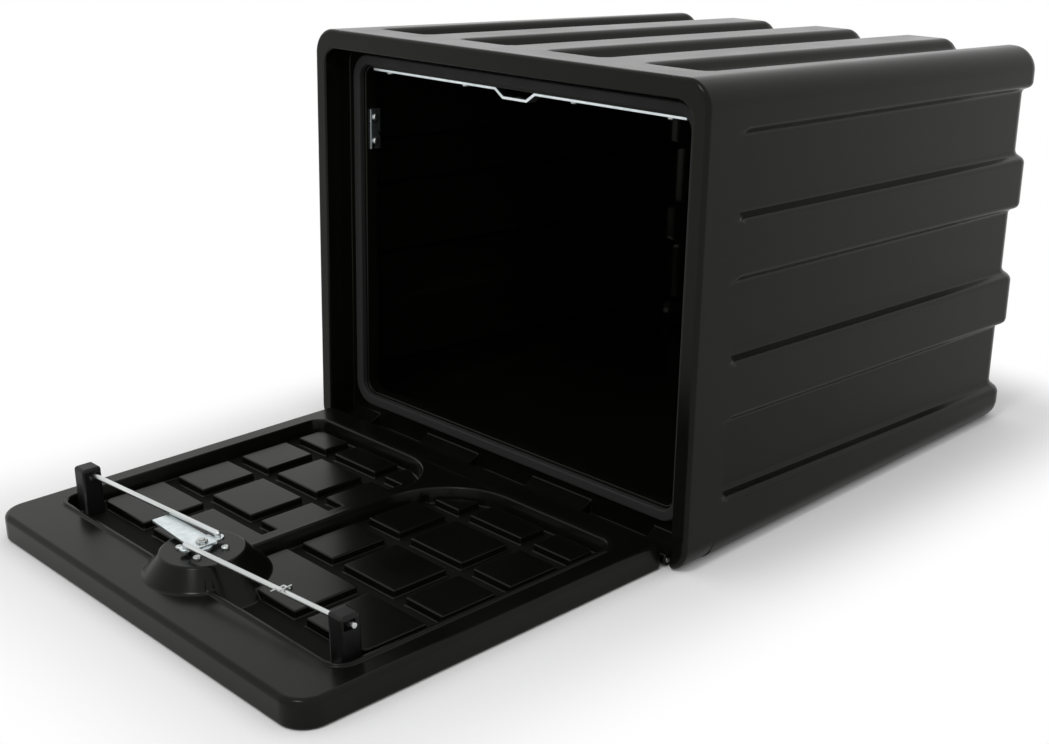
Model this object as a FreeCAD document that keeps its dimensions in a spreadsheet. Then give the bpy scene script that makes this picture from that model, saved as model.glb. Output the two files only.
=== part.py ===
import FreeCAD, Part
import Sketcher
import math
import os

# Drop-door tool case: a ribbed moulded case on a sloping base, with a front door that is hinged
# along its lower edge and lies open on the table, held shut by a three-point latch.
#
# Two local frames are used, and each sub-part's Placement takes it from there to the part's frame.
# Case frame: the front face is the plane y = 0, +Y goes into the case, +Z runs up the front face.
# The case leans back by lean_angle, because its floor slopes and it stands flat on that floor.
# Door frame: the open door's outer face is the plane z = 0, and -Y points to its free end.
# The part's frame has its origin on the table under the middle of the case's base, +Z up.

V = FreeCAD.Vector

DIMENSIONS = {
    # Case as a whole
    "case_width": 500,
    "case_depth": 512,
    "case_top": 397,
    "foot_rise": 6.7,
    "lean_angle": 2.6156,
    "side_draft": 0.026,
    "roof_fall": 0.007,
    "top_corner": 24,
    "base_corner": 20,
    "base_spare": 1,
    "rear_round": 20,
    "shell_wall": 4,
    # Corrugations of the shell
    "collar_end": 46,
    "recess_ramp": 9,
    "side_recess": 11,
    "recess_slope": 5,
    "recess_round": 6,
    "panel_low": 47,
    "panel_height": 72,
    "panel_pitch": 118.5,
    "rib_width": 50,
    "shoulder_width": 45,
    "valley_depth": 12,
    "valley_slope": 8,
    "valley_round": 10,
    # Front frame
    "frame_depth": 37,
    "frame_wall": 4,
    "rim_side": 16,
    "rim_top": 18,
    "rim_corner": 16,
    "front_round": 4,
    "rebate_depth": 30,
    "floor_gap": 13,
    "floor_wall": 4.6,
    "opening_side": 25,
    "opening_low": 33,
    "opening_head": 18,
    "opening_corner": 10,
    "sleeve_over": 6,
    # Door seal
    "seal_gap": 3,
    "seal_width": 10,
    "seal_clear": 0.6,
    # Hinge
    "pivot_y": 5.9,
    "pivot_z": 5.8,
    "knuckle_radius": 5.4,
    "knuckle_clear": 0.7,
    "rod_radius": 2.5,
    "bore_clear": 0.06,
    "web_rise": 0.6,
    "block_crest": 24,
    "block_height": 7.4,
    # Roof strip and keepers
    "strip_short": 9,
    "strip_lap": 4,
    "strip_width": 10,
    "strip_thick": 2.5,
    "strip_drop": 7,
    "drop_inner": 14.5,
    "drop_outer": 25,
    "keeper_below": 16.5,
    "keeper_above": 22.5,
    "keeper_lap": 3,
    "keeper_depth": 11.6,
    "keeper_thick": 2.5,
    "stay_height": 213,
    # Screws
    "screw_head": 3.4,
    "screw_crown": 2.2,
    "crown_round": 1.3,
    "screw_shank": 2,
    "screw_length": 9,
    # Door
    "door_side": 6,
    "door_end": 11,
    "door_heel": 1,
    "door_thick": 24,
    "weld_level": 8.5,
    "door_wall": 3.5,
    "door_corner": 24,
    "heel_corner": 6,
    "door_round": 5,
    "outer_round": 3,
    # Pans of the door's inner side
    "flange_side": 24,
    "pan_heel": 34,
    "flange_end": 52,
    "pan_floor": 11.5,
    "pan_corner": 14,
    "pan_taper": 12,
    "web_left": -8,
    "web_right": -3,
    "left_sweep": 55,
    "right_sweep": 76,
    "curb_width": 4,
    "curb_height": 2,
    "pillow_top": 18.5,
    "pillow_side": 14,
    "pillow_heel": 43,
    "pillow_end": 33,
    "left_field": -18,
    "left_grooves": -29.5,
    "right_field": 7.5,
    "groove_width": 15,
    "row_one": 71,
    "row_two": 137.5,
    "row_three": 207.5,
    # Grooves across the door, as shares of pillow_half
    "left_column_one": 0.769,
    "left_column_two": 0.363,
    "left_column_low": 0.636,
    "right_column_one": 0.265,
    "right_column_two": 0.687,
    "right_column_low": 0.547,
    # Handle dish
    "dish_end": 18.5,
    "disc_level": 41,
    "disc_radius": 34.5,
    "cone_spread": 0.853,
    "spindle_hole": 6.5,
    # Latch
    "plate_thick": 2.5,
    "plate_lift": 3,
    "tongue_half": 10,
    "tongue_tip": 6.5,
    "tongue_reach": 66,
    "tongue_tail": 7,
    "crank_radius": 15,
    "ear_radius": 5,
    "square_half": 4,
    "square_start": 24,
    "spacer_radius": 9,
    "spacer_clear": 0.1,
    "square_clear": 0.05,
    "nut_radius": 5,
    "nut_height": 2.2,
    "stud_radius": 2.5,
    "stud_end": 49.6,
    "link_radius": 2.3,
    "link_clear": 0.2,
    "pin_clear": 0.08,
    "rod_tip": 3.5,
    "link_offset": 1,
    # Guide posts
    "post_side": 25,
    "post_size": 18,
    "post_top": 56,
    "post_round": 3,
    "window_half": 5.2,
    "window_shift": 2,
    "window_low": 45,
    "window_high": 52.8,
    "post_end": 10.5,
    "post_foot": 7,
    "post_foot_width": 12,
    "post_flange": 3,
    # Clip on the right rod
    "clip_share": 0.57,
    "clip_radius": 0.8,
    "clip_leg": 6.5,
    "clip_gap": 9,
    # Handle, its housing and its lock
    "housing_radius": 27,
    "housing_flange": 3,
    "barrel_radius": 14,
    "barrel_end": 20,
    "stem_radius": 10,
    "handle_skin": 2,
    "handle_thick": 12,
    "handle_half": 41,
    "handle_width": 17,
    "handle_hub": 15,
    "handle_round": 3,
    "housing_screw": 13,
    "plug_radius": 6,
    "plug_depth": 10,
    "plug_proud": 0.4,
    "key_slot": 7,
    "key_gap": 1.4,
}


class Size:
    """A number together with the sheet expression that gives it."""

    def __init__(self, value, text):
        self.value = float(value)
        self.text = text

    def __add__(self, other):
        other = as_size(other)
        return Size(self.value + other.value, f"({self.text} + {other.text})")

    def __radd__(self, other):
        return as_size(other) + self

    def __sub__(self, other):
        other = as_size(other)
        return Size(self.value - other.value, f"({self.text} - {other.text})")

    def __rsub__(self, other):
        return as_size(other) - self

    def __mul__(self, other):
        other = as_size(other)
        return Size(self.value * other.value, f"({self.text} * {other.text})")

    def __rmul__(self, other):
        return as_size(other) * self

    def __truediv__(self, other):
        other = as_size(other)
        return Size(self.value / other.value, f"({self.text} / {other.text})")

    def __neg__(self):
        return Size(-self.value, f"(-1 * {self.text})")


def as_size(number):
    if isinstance(number, Size):
        return number
    return Size(number, repr(float(number)) if number >= 0 else f"({float(number)!r})")


def sine(angle):
    return Size(math.sin(math.radians(angle.value)), f"sin({angle.text})")


def arctangent(ratio):
    """Angle in degrees, with its expression's unit taken off."""
    return Size(math.degrees(math.atan(ratio.value)), f"(atan({ratio.text}) / 1deg)")


def cosine(angle):
    return Size(math.cos(math.radians(angle.value)), f"cos({angle.text})")


doc = FreeCAD.newDocument("tool_case")
sheet = doc.addObject("Spreadsheet::Sheet", "Sheet")
for row, (alias, number) in enumerate(DIMENSIONS.items(), start=1):
    sheet.set(f"A{row}", alias)
    sheet.set(f"B{row}", str(number))
    sheet.setAlias(f"B{row}", alias)
doc.recompute()


class Sizes:
    """The sheet's dimensions, read by name."""

    def __getattr__(self, alias):
        return Size(sheet.get(alias), f"Sheet.{alias}")


S = Sizes()
SUBPARTS = []

# Sizes that follow from the sheet

lean_sine = sine(S.lean_angle)
lean_cosine = cosine(S.lean_angle)
half_width = S.case_width / 2
front_shift = S.foot_rise * lean_sine
rim_half = half_width - S.rim_side
rim_high = S.case_top - S.rim_top
rib_pitch = (half_width - S.shoulder_width + S.rib_width / 2) / 2
opening_half = rim_half - S.opening_side
opening_high = rim_high - S.opening_head
strip_half = opening_half - S.strip_short
door_half = rim_half - S.door_side
door_length = rim_high - S.door_end
knuckle_long = door_half / 3
knuckle_short = knuckle_long / 2
pan_half = door_half - S.flange_side
pan_reach = door_length - S.flange_end
pillow_half = pan_half - S.pillow_side
pillow_reach = pan_reach - S.pillow_end
dish_reach = pan_reach - S.dish_end
post_inner = pan_half - S.post_side
post_reach = pan_reach - S.post_end
link_reach = post_inner + S.post_size + S.rod_tip
strip_start = S.frame_depth - S.strip_lap
keeper_start = S.frame_depth - S.keeper_lap
keeper_low = dish_reach - S.keeper_below
keeper_high = dish_reach + S.keeper_above
pivot_case_y = (S.pivot_y - front_shift) * lean_cosine - (S.pivot_z - S.foot_rise) * lean_sine
pivot_case_z = (S.pivot_y - front_shift) * lean_sine + (S.pivot_z - S.foot_rise) * lean_cosine
closed_shift = pivot_case_y - S.pivot_z
plate_low = S.disc_level + S.plate_lift
plate_high = plate_low + S.plate_thick
link_level = plate_high + S.link_clear + S.link_radius
dish_floor = S.disc_level - S.door_wall


def base_at(depth):
    """Height of the table in the case frame, at a depth behind the front face."""
    return depth * lean_sine / lean_cosine - S.foot_rise / lean_cosine


def bind(item, name, number):
    """Give a property its value and the expression that keeps it."""
    item.setExpression(name, as_size(number).text)


def shift_to(item, x=0, y=0, z=0):
    bind(item, "Placement.Base.x", x)
    bind(item, "Placement.Base.y", y)
    bind(item, "Placement.Base.z", z)


def case_placement():
    """Place of the case frame in the part's frame."""
    origin = V(0, front_shift.value - S.case_depth.value / 2, S.foot_rise.value)
    return FreeCAD.Placement(origin, FreeCAD.Rotation(V(1, 0, 0), -S.lean_angle.value))


def place_case(item):
    """Stand a sub-part made in the case frame on the case's sloping base."""
    item.Placement = case_placement()
    shift_to(item, 0, front_shift - S.case_depth / 2, S.foot_rise)
    SUBPARTS.append(item)


def place_door(item):
    """Lay a sub-part made in the door frame on the table in front of the case."""
    shift_to(item, 0, -S.case_depth / 2, 0)
    SUBPARTS.append(item)


def new_body(label):
    body = doc.addObject("PartDesign::Body", label)
    body.Label = label
    return body


def new_sketch(body, plane, offset=0):
    """A sketch parallel to one of the body's origin planes, offset along the plane's normal."""
    sketch = body.newObject("Sketcher::SketchObject", f"{body.Name}_sketch")
    support = next(part for part in body.Origin.OriginFeatures if part.Role == plane)
    sketch.AttachmentSupport = (support, [""])
    sketch.MapMode = "FlatFace"
    bind(sketch, "AttachmentOffset.Base.z", offset)
    return sketch


def hold(sketch, words, number):
    """Add a dimensional constraint and tie it to the sheet."""
    index = sketch.addConstraint(Sketcher.Constraint(*words, number.value))
    sketch.setExpression(f"Constraints[{index}]", number.text)


def add_polygon(sketch, corners):
    """A closed outline of straight lines, each corner placed by its two coordinates."""
    corners = [(as_size(x), as_size(y)) for x, y in corners]
    first = sketch.GeometryCount
    count = len(corners)
    points = [V(x.value, y.value, 0) for x, y in corners]
    sketch.addGeometry([Part.LineSegment(points[i], points[(i + 1) % count]) for i in range(count)], False)
    for i in range(count):
        sketch.addConstraint(Sketcher.Constraint("Coincident", first + i, 2, first + (i + 1) % count, 1))
    for i, (x, y) in enumerate(corners):
        hold(sketch, ("DistanceX", -1, 1, first + i, 1), x)
        hold(sketch, ("DistanceY", -1, 1, first + i, 1), y)


def add_rectangle(sketch, left, right, low, high):
    add_polygon(sketch, [(left, low), (right, low), (right, high), (left, high)])


def add_rounded(sketch, left, right, low, high, radii):
    """A rectangle with rounded corners: low right, high right, high left, low left."""
    left, right, low, high = (as_size(edge) for edge in (left, right, low, high))
    radii = [as_size(radius) for radius in radii]
    low_right, high_right, high_left, low_left = (radius.value for radius in radii)
    x0, x1, y0, y1 = left.value, right.value, low.value, high.value
    first = sketch.GeometryCount
    lines = [
        Part.LineSegment(V(x0 + low_left, y0, 0), V(x1 - low_right, y0, 0)),
        Part.LineSegment(V(x1, y0 + low_right, 0), V(x1, y1 - high_right, 0)),
        Part.LineSegment(V(x1 - high_right, y1, 0), V(x0 + high_left, y1, 0)),
        Part.LineSegment(V(x0, y1 - high_left, 0), V(x0, y0 + low_left, 0)),
    ]
    centres = [
        V(x1 - low_right, y0 + low_right, 0),
        V(x1 - high_right, y1 - high_right, 0),
        V(x0 + high_left, y1 - high_left, 0),
        V(x0 + low_left, y0 + low_left, 0),
    ]
    arcs = []
    for i, centre in enumerate(centres):
        start = (i - 1) * math.pi / 2
        circle = Part.Circle(centre, V(0, 0, 1), radii[i].value)
        arcs.append(Part.ArcOfCircle(circle, start, start + math.pi / 2))
    sketch.addGeometry(lines + arcs, False)
    joins = []
    for i in range(4):
        joins.append(Sketcher.Constraint("Tangent", first + i, 2, first + 4 + i, 1))
        joins.append(Sketcher.Constraint("Tangent", first + 4 + i, 2, first + (i + 1) % 4, 1))
        joins.append(Sketcher.Constraint("Horizontal" if i % 2 == 0 else "Vertical", first + i))
    sketch.addConstraint(joins)
    hold(sketch, ("DistanceY", -1, 1, first, 1), low)
    hold(sketch, ("DistanceX", -1, 1, first + 1, 1), right)
    hold(sketch, ("DistanceY", -1, 1, first + 2, 1), high)
    hold(sketch, ("DistanceX", -1, 1, first + 3, 1), left)
    for i, radius in enumerate(radii):
        hold(sketch, ("Radius", first + 4 + i), radius)


def add_circle(sketch, x, y, radius):
    x, y, radius = as_size(x), as_size(y), as_size(radius)
    index = sketch.GeometryCount
    sketch.addGeometry(Part.Circle(V(x.value, y.value, 0), V(0, 0, 1), radius.value), False)
    hold(sketch, ("DistanceX", -1, 1, index, 3), x)
    hold(sketch, ("DistanceY", -1, 1, index, 3), y)
    hold(sketch, ("Radius", index), radius)


def feature(body, kind, sketch, **settings):
    """A feature made from a sketch, with each Size among its settings bound to the sheet."""
    item = body.newObject(f"PartDesign::{kind}", f"{body.Name}_{kind.lower()}")
    item.Profile = sketch
    for name, number in settings.items():
        if isinstance(number, Size):
            bind(item, name, number)
        else:
            setattr(item, name, number)
    return item


def pad(body, sketch, length, **settings):
    return feature(body, "Pad", sketch, Length=as_size(length), **settings)


def pocket(body, sketch, length, **settings):
    return feature(body, "Pocket", sketch, Length=as_size(length), **settings)


def round_edges(body, radius, chosen):
    """Round the edges of the body's tip that a test picks by their two ends."""
    doc.recompute()
    base = body.Tip
    names = []
    for index, edge in enumerate(base.Shape.Edges, start=1):
        ends = [vertex.Point for vertex in edge.Vertexes]
        if len(ends) == 2 and chosen(ends[0], ends[1]):
            names.append(f"Edge{index}")
    if not names:
        raise RuntimeError(f"no edge of {body.Name} to round")
    item = body.newObject("PartDesign::Fillet", f"{body.Name}_fillet")
    item.Base = (base, names)
    bind(item, "Radius", as_size(radius))
    doc.recompute()
    if item.State[-1] == "Invalid" or not item.Shape.isValid():
        raise RuntimeError(f"{item.Name} can't be rounded")
    return item


def solid(kind, label, x=0, y=0, z=0, axis=None, angle=0, **sizes):
    """A Part primitive with its sizes and its place bound to the sheet."""
    item = doc.addObject(f"Part::{kind}", label)
    for name, number in sizes.items():
        bind(item, name, as_size(number))
    if axis:
        item.Placement = FreeCAD.Placement(V(0, 0, 0), FreeCAD.Rotation(axis, angle))
    shift_to(item, x, y, z)
    return item


def soften(label, base, radius, chosen):
    """A copy of a Part solid in which the edges that a test picks are rounded."""
    item = doc.addObject("Part::Fillet", label)
    item.Base = base
    doc.recompute()
    picked = [index for index, edge in enumerate(base.Shape.Edges, start=1) if chosen(edge)]
    item.Edges = [(index, radius.value, radius.value) for index in picked]
    return item


def fuse(label, pieces):
    item = doc.addObject("Part::MultiFuse", label)
    item.Shapes = pieces
    item.Label = label
    return item


def cut(label, base, tool):
    item = doc.addObject("Part::Cut", label)
    item.Base = base
    item.Tool = tool
    item.Label = label
    return item


def group(label, pieces):
    """Identical pieces kept as separate solids of one node."""
    item = doc.addObject("Part::Compound", label)
    item.Links = pieces
    item.Label = label
    return item


# The shell: a thin-walled moulding, corrugated behind its collar

def shell_outline(depth, inset, recess, grow, spare):
    """Corners of the shell's section, right half first, each as (x, z, corner radius)."""
    wide = half_width.value - S.side_draft.value * depth - inset
    low = base_at(as_size(depth)).value + inset - spare
    high = S.case_top.value - S.roof_fall.value * depth - inset
    side_cut = S.side_recess.value * recess
    roof_cut = S.valley_depth.value * recess
    fine = S.recess_round.value
    right = [(wide, low, max(S.base_corner.value - inset, fine))]
    for number in range(3):
        start = S.panel_low.value + number * S.panel_pitch.value - grow
        end = start + S.panel_height.value + 2 * grow
        slope = S.recess_slope.value
        right.append((wide, start, fine))
        right.append((wide - side_cut, start + slope, fine))
        right.append((wide - side_cut, end - slope, fine))
        right.append((wide, end, fine))
    right.append((wide, high, max(S.top_corner.value - inset, fine)))
    half_rib = S.rib_width.value / 2
    slope = S.valley_slope.value
    valleys = [
        (rib_pitch.value + half_rib - grow, half_width.value - S.shoulder_width.value + grow),
        (half_rib - grow, rib_pitch.value - half_rib + grow),
    ]
    soft = S.valley_round.value
    for near, far in valleys:
        right.append((far, high, soft))
        right.append((far - slope, high - roof_cut, soft))
        right.append((near + slope, high - roof_cut, soft))
        right.append((near, high, soft))
    left = [(-x, z, radius) for x, z, radius in reversed(right)]
    return right + left


def fitting_reaches(points, wanted):
    """Lengths that the corners' arcs take from their edges, shortened where two would meet."""
    fitted = list(wanted)
    for here in range(len(points)):
        after = (here + 1) % len(points)
        share = ARC_ROOM * (points[after] - points[here]).Length / (wanted[here] + wanted[after])
        if share < 1:
            fitted[here] = min(fitted[here], wanted[here] * share)
            fitted[after] = min(fitted[after], wanted[after] * share)
    return fitted


def rounded_wire(depth, corners):
    """A closed wire across the case at a depth, with an arc at every corner."""
    points = [V(x, depth, z) for x, z, radius in corners]
    count = len(points)
    bends = []
    for i in range(count):
        back = (points[i - 1] - points[i]).normalize()
        ahead = (points[(i + 1) % count] - points[i]).normalize()
        bends.append((back, ahead, back.getAngle(ahead) / 2))
    wanted = [corner[2] / math.tan(bend[2]) for corner, bend in zip(corners, bends)]
    joints = []
    for point, (back, ahead, half), reach in zip(points, bends, fitting_reaches(points, wanted)):
        radius = reach * math.tan(half)
        middle = point + (back + ahead).normalize() * (radius / math.sin(half) - radius)
        joints.append((point + back * reach, middle, point + ahead * reach))
    edges = []
    for i, (start, middle, end) in enumerate(joints):
        edges.append(Part.Arc(start, middle, end).toShape())
        edges.append(Part.LineSegment(end, joints[(i + 1) % count][0]).toShape())
    return Part.Wire(edges)


def shell_solid(first, last, inset, grow, rounding, spare):
    """A closed solid of the shell's outer shape, or of its hollow, with its base lowered by spare."""
    flat = 0.02
    ramp_start = S.collar_end.value
    ramp_end = ramp_start + S.recess_ramp.value
    stations = [(first, 0, flat), (ramp_start, 0, flat), (ramp_end, 0, 1)]
    for step in range(ROUND_STEPS + 1):
        angle = step * math.pi / 2 / ROUND_STEPS
        depth = last - rounding + rounding * math.sin(angle)
        stations.append((depth, rounding * (1 - math.cos(angle)), 1))
    wires = []
    for depth, tuck, recess in stations:
        wires.append(rounded_wire(depth, shell_outline(depth, inset + tuck, recess, grow, spare)))
    return Part.makeLoft(wires, True, True)


def ground_block(height):
    """A block below the table plane, set in the case frame."""
    wide = S.case_width.value
    deep = 2 * S.case_depth.value
    block = Part.makeBox(wide, deep, height, V(-wide / 2, -deep / 2, -height))
    block.Placement = case_placement().inverse()
    return block


def wall_growth(wall):
    """How far a sloped recess wall moves along the face when it is offset by the shell's wall."""
    run = math.hypot(S.side_recess.value, S.recess_slope.value)
    return wall * (run - S.recess_slope.value) / S.side_recess.value


ROUND_STEPS = 6
ARC_ROOM = 0.95

case_shell = doc.addObject("Part::Feature", "case_shell")
shell_wall = S.shell_wall.value
base_spare = S.base_spare.value
shell_body = shell_solid(
    S.frame_depth.value, S.case_depth.value, 0, 0, S.rear_round.value, base_spare
).cut(ground_block(S.base_corner.value))
shell_hollow = shell_solid(
    S.frame_depth.value - shell_wall,
    S.case_depth.value - shell_wall,
    shell_wall,
    wall_growth(shell_wall),
    S.rear_round.value - shell_wall,
    0,
)
case_shell.Shape = shell_body.cut(shell_hollow)
case_shell.Label = "case_shell"
place_case(case_shell)


# The front frame: rim, rebate for the door, inner sleeve and the fixed half of the hinge

def profile_side(body, offset):
    """A sketch across the hinge line, whose own axes are +Y and +Z."""
    return new_sketch(body, "YZ_Plane", offset)


frame = new_body("front_frame")
frame_front = new_sketch(frame, "XZ_Plane", 0)
frame_back = new_sketch(frame, "XZ_Plane", -S.frame_depth)
corner_radii = (S.base_corner, S.top_corner, S.top_corner, S.base_corner)
add_rounded(frame_front, -half_width, half_width, base_at(as_size(0)), S.case_top, corner_radii)
back_half = half_width - S.side_draft * S.frame_depth
back_top = S.case_top - S.roof_fall * S.frame_depth
add_rounded(frame_back, -back_half, back_half, base_at(S.frame_depth), back_top, corner_radii)
frame_loft = frame.newObject("PartDesign::AdditiveLoft", "front_frame_loft")
frame_loft.Profile = frame_back
frame_loft.Sections = [frame_front]
frame_loft.Ruled = True


def on_front(first, second):
    """True for an edge of the front face."""
    return abs(first.y) < 0.01 and abs(second.y) < 0.01


def inner_rim_edge(first, second):
    """True for an edge where the rebate meets the front face."""
    inside = max(abs(first.x), abs(second.x)) < rim_half.value + 0.01
    return on_front(first, second) and inside and max(first.z, second.z) < rim_high.value + 0.01


round_edges(frame, S.front_round, on_front)
rebate = new_sketch(frame, "XZ_Plane", 0)
rebate_low = base_at(as_size(0)) + S.floor_wall
rim_radii = (S.front_round, S.rim_corner, S.rim_corner, S.front_round)
add_rounded(rebate, -rim_half, rim_half, rebate_low, rim_high, rim_radii)
pocket(frame, rebate, S.rebate_depth)
round_edges(frame, S.front_round / 2, inner_rim_edge)
doorway = new_sketch(frame, "XZ_Plane", 0)
add_rectangle(doorway, -rim_half, rim_half, -S.base_corner, S.base_corner)
pocket(frame, doorway, S.floor_gap)
opening = new_sketch(frame, "XZ_Plane", 0)
opening_radii = (S.opening_corner,) * 4
add_rounded(opening, -opening_half, opening_half, S.opening_low, opening_high, opening_radii)
pocket(frame, opening, S.frame_depth)
hollow = new_sketch(frame, "XZ_Plane", -S.frame_depth)
hollow_out = half_width - S.frame_wall
hollow_in = rim_half + S.frame_wall
hollow_top = S.case_top - S.frame_wall
hollow_roof = rim_high + S.frame_wall
outer_cut = S.top_corner - 2.5 * S.frame_wall
inner_cut = S.rim_corner - S.frame_wall
right_half = [
    (hollow_in, S.base_corner),
    (hollow_out, S.base_corner),
    (hollow_out, hollow_top - outer_cut),
    (hollow_out - outer_cut, hollow_top),
]
right_inner = [
    (hollow_in - inner_cut, hollow_roof),
    (hollow_in, hollow_roof - inner_cut),
]
left_half = [(-x, z) for x, z in reversed(right_half)]
left_inner = [(-x, z) for x, z in reversed(right_inner)]
add_polygon(hollow, right_half + left_half + left_inner + right_inner)
pocket(frame, hollow, S.frame_depth - S.frame_wall, Reversed=True)
sleeve = new_sketch(frame, "XZ_Plane", -S.frame_depth)
sleeve_half = opening_half + S.frame_wall
sleeve_low = S.opening_low - S.frame_wall
sleeve_high = opening_high + S.frame_wall
sleeve_radii = (S.opening_corner + S.frame_wall,) * 4
add_rounded(sleeve, -sleeve_half, sleeve_half, sleeve_low, sleeve_high, sleeve_radii)
add_rounded(sleeve, -opening_half, opening_half, S.opening_low, opening_high, opening_radii)
pad(frame, sleeve, S.sleeve_over, Reversed=True)

segment_ends = [
    (-1.5 * knuckle_long, -0.5 * knuckle_long),
    (0.5 * knuckle_long, 1.5 * knuckle_long),
    (-2.5 * knuckle_long - knuckle_short, -2.5 * knuckle_long),
    (2.5 * knuckle_long, 2.5 * knuckle_long + knuckle_short),
]
for start, end in segment_ends:
    barrel = profile_side(frame, start)
    add_circle(barrel, pivot_case_y, pivot_case_z, S.knuckle_radius)
    pad(frame, barrel, end - start)
    web = profile_side(frame, start)
    sill = S.rebate_depth + 1
    add_polygon(web, [
        (pivot_case_y, pivot_case_z - S.knuckle_radius),
        (sill, base_at(sill) + S.floor_wall / 2),
        (sill, S.block_height + 4),
        (S.block_crest, S.block_height),
        (pivot_case_y + S.knuckle_radius, pivot_case_z + S.knuckle_radius / 2),
        (pivot_case_y, pivot_case_z + S.knuckle_radius),
    ])
    pad(frame, web, end - start)
bore = profile_side(frame, -rim_half)
add_circle(bore, pivot_case_y, pivot_case_z, S.rod_radius)
pocket(frame, bore, 2 * rim_half, Reversed=True)
place_case(frame)

seal = new_body("door_seal")
seal_sketch = new_sketch(seal, "XZ_Plane", -S.rebate_depth)
seal_inner = opening_half + S.seal_gap
seal_outer = seal_inner + S.seal_width
seal_low = S.opening_low - S.seal_gap
seal_high = opening_high + S.seal_gap
add_rounded(seal_sketch, -seal_inner, seal_inner, seal_low, seal_high, (S.opening_corner + S.seal_gap,) * 4)
seal_radii = (S.opening_corner + S.seal_gap + S.seal_width,) * 4
add_rounded(
    seal_sketch, -seal_outer, seal_outer, seal_low - S.seal_width, seal_high + S.seal_width, seal_radii
)
seal_height = S.rebate_depth - S.seal_clear - closed_shift - S.door_thick
pad(seal, seal_sketch, seal_height)


def on_seal_crest(first, second):
    """True for the edges of the seal's face towards the door."""
    crest = S.rebate_depth.value - seal_height.value
    return abs(first.y - crest) < 0.01 and abs(second.y - crest) < 0.01


round_edges(seal, S.seal_width / 5, on_seal_crest)
place_case(seal)


# Zinc-plated strip above the opening: the latch's tongue turns up behind its dropped middle

strip = new_body("roof_strip")
strip_sketch = new_sketch(strip, "XZ_Plane", -strip_start)
strip_top = opening_high
strip_low = strip_top - S.strip_thick
add_polygon(strip_sketch, [
    (-strip_half, strip_low),
    (-S.drop_outer - S.strip_thick / 2, strip_low),
    (-S.drop_inner - S.strip_thick / 2, strip_low - S.strip_drop),
    (S.drop_inner + S.strip_thick / 2, strip_low - S.strip_drop),
    (S.drop_outer + S.strip_thick / 2, strip_low),
    (strip_half, strip_low),
    (strip_half, strip_top),
    (S.drop_outer, strip_top),
    (S.drop_inner, strip_top - S.strip_drop),
    (-S.drop_inner, strip_top - S.strip_drop),
    (-S.drop_outer, strip_top),
    (-strip_half, strip_top),
])
pad(strip, strip_sketch, S.strip_width, Reversed=True)
place_case(strip)


def screw(label, x, y, z, axis, angle):
    """A pan-head screw whose head stands on the plane through its place, shank along -axis."""
    head = solid("Cylinder", f"{label}_head", Radius=S.screw_head, Height=S.screw_crown)
    shank = solid(
        "Cylinder", f"{label}_shank", z=-S.screw_length,
        Radius=S.screw_shank, Height=S.screw_length,
    )
    crown_level = S.screw_crown.value / 2
    crown = soften(f"{label}_crown", head, S.crown_round, lambda edge: edge.BoundBox.ZMin > crown_level)
    item = fuse(label, [crown, shank])
    item.Placement = FreeCAD.Placement(V(0, 0, 0), FreeCAD.Rotation(axis, angle))
    shift_to(item, x, y, z)
    return item


strip_screws = []
for number, side in enumerate((-0.9, -0.35, 0.35, 0.9), start=1):
    place = (side * strip_half, strip_start + S.strip_width / 2, strip_low)
    strip_screws.append(screw(f"strip_screw_{number}", *place, V(1, 0, 0), 180))
place_case(group("roof_strip_screws", strip_screws))

keeper_tall = keeper_high - keeper_low
keeper_screws = []
for side, name in ((-1, "left"), (1, "right")):
    inner_face = opening_half - S.keeper_thick
    low_x = inner_face if side > 0 else -opening_half
    plate = solid(
        "Box", f"keeper_plate_{name}", low_x, keeper_start, keeper_low,
        Length=S.keeper_thick, Width=S.keeper_depth, Height=keeper_tall,
    )
    place_case(group(f"keeper_{name}", [plate]))
    for number, share in enumerate((0.2, 0.8), start=1):
        height = keeper_low + share * keeper_tall
        depth = keeper_start + S.keeper_depth / 2
        keeper_screws.append(
            screw(f"keeper_screw_{name}_{number}", side * inner_face, depth, height, V(0, 1, 0), -90 * side)
        )
place_case(group("keeper_screws", keeper_screws))
stay = screw("stay_screw_one", opening_half, S.frame_depth, S.stay_height, V(0, 1, 0), -90)
place_case(group("stay_screw", [stay]))


# Hinge rod, fixed in the frame's knuckles

hinge_rod = solid(
    "Cylinder", "hinge_rod", -2.5 * knuckle_long - knuckle_short, 0, 0, V(0, 1, 0), 90,
    Radius=S.rod_radius, Height=5 * knuckle_long + 2 * knuckle_short,
)
hinge_rod.Label = "hinge_rod"
bind(hinge_rod, "Placement.Base.y", S.pivot_y - S.case_depth / 2)
bind(hinge_rod, "Placement.Base.z", S.pivot_z)
SUBPARTS.append(hinge_rod)


# Door: an outer tray and an inner moulding, welded together at weld_level

heel = -S.door_heel
reach = -door_length
dish_y = -dish_reach
door_radii = (S.door_corner, S.heel_corner, S.heel_corner, S.door_corner)
hollow_radii = tuple(radius - S.door_wall for radius in door_radii)


def cone_radius(level, skin=0):
    """Radius of the handle dish's outer or inner cone at a level."""
    return S.disc_radius - skin + (S.disc_level - skin - level) * S.cone_spread


outer = new_body("door_outer")
outer_sketch = new_sketch(outer, "XY_Plane", 0)
add_rounded(outer_sketch, -door_half, door_half, reach, heel, door_radii)
pad(outer, outer_sketch, S.weld_level)


def on_table(first, second):
    return abs(first.z) < 0.01 and abs(second.z) < 0.01


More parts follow.
